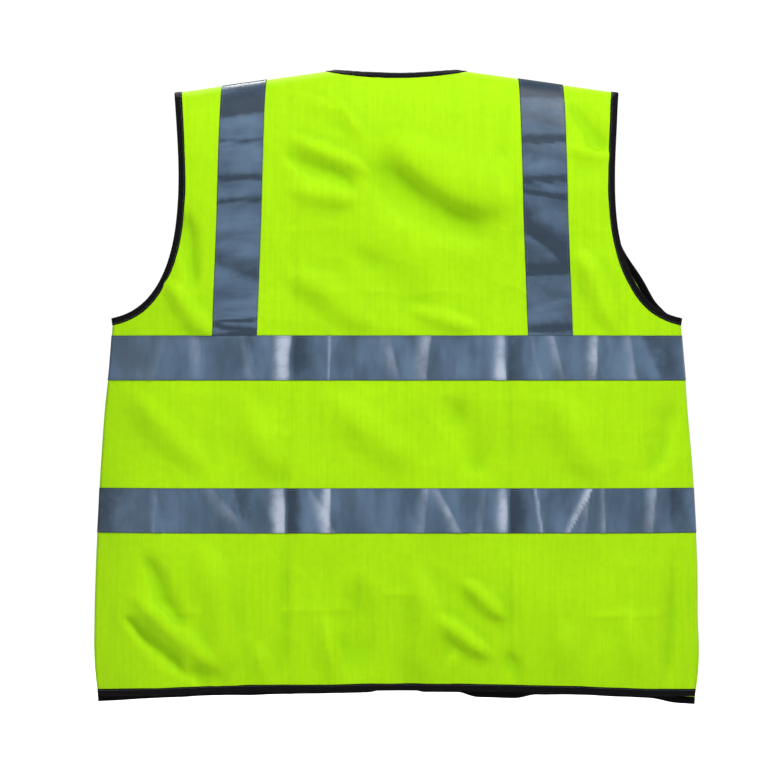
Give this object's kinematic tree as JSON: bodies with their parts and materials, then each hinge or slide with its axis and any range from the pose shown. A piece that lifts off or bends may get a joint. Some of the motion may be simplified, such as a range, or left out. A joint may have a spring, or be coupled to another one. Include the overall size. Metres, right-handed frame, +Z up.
{
  "type": "high visibility vest",
  "caption": "Sleeveless high visibility vest with reflective bands and shoulder braces, bound edges, and open fronts that fasten with hook and loop patches.",
  "frame": {"origin": "level with the two neck points, midway between them, in the plane of the side seams", "axes": "+Z up as worn; the front of the vest faces +Y and its back faces -Y; +X is the wearer's right"},
  "size_m": [0.675, 0.0856, 0.6996],
  "materials": {
    "knitted_fabric": "fluorescent yellow-green knitted polyester",
    "reflective_tape": "silver-grey glass-bead reflective tape, satin",
    "binding_tape": "black folded binding tape",
    "seam_allowance": "overlocked fabric edge",
    "hook_tape": "moulded hooks on woven tape",
    "loop_tape": "napped loops on woven tape",
    "label_cloth": "woven label, blank"
  },
  "bodies": {
    "vest": {"back_panel": "knitted_fabric", "right_front_panel": "knitted_fabric", "left_front_panel": "knitted_fabric", "back_chest_band": "reflective_tape", "back_waist_band": "reflective_tape", "right_shoulder_brace": "reflective_tape", "left_shoulder_brace": "reflective_tape", "right_front_chest_band": "reflective_tape", "left_front_chest_band": "reflective_tape", "right_front_waist_band": "reflective_tape", "left_front_waist_band": "reflective_tape", "neck_binding": "binding_tape", "hem_binding": "binding_tape", "right_armhole_binding": "binding_tape", "left_armhole_binding": "binding_tape", "right_side_seam": "seam_allowance", "left_side_seam": "seam_allowance", "right_shoulder_seam": "seam_allowance", "left_shoulder_seam": "seam_allowance", "care_label": "label_cloth"},
    "right_flap": {"right_flap_panel": "knitted_fabric", "right_flap_chest_band": "reflective_tape", "right_flap_waist_band": "reflective_tape", "right_flap_binding": "binding_tape", "right_loop_patch_top": "loop_tape", "right_loop_patch_middle": "loop_tape", "right_loop_patch_bottom": "loop_tape"},
    "left_flap": {"left_flap_panel": "knitted_fabric", "left_flap_chest_band": "reflective_tape", "left_flap_waist_band": "reflective_tape", "left_flap_binding": "binding_tape", "left_hook_patch_top": "hook_tape", "left_hook_patch_middle": "hook_tape", "left_hook_patch_bottom": "hook_tape"}
  },
  "joints": [
    {"name": "right_front_opens", "type": "hinge", "parent": "vest", "child": "right_flap", "pos_m": [0.03511, 0.043, -0.137], "axis": [0.3082, 0, -0.9513], "range_deg": [0, 160]},
    {"name": "left_front_opens", "type": "hinge", "parent": "vest", "child": "left_flap", "pos_m": [-0.03511, 0.043, -0.137], "axis": [0.3082, 0, 0.9513], "range_deg": [0, 160]}
  ]
}
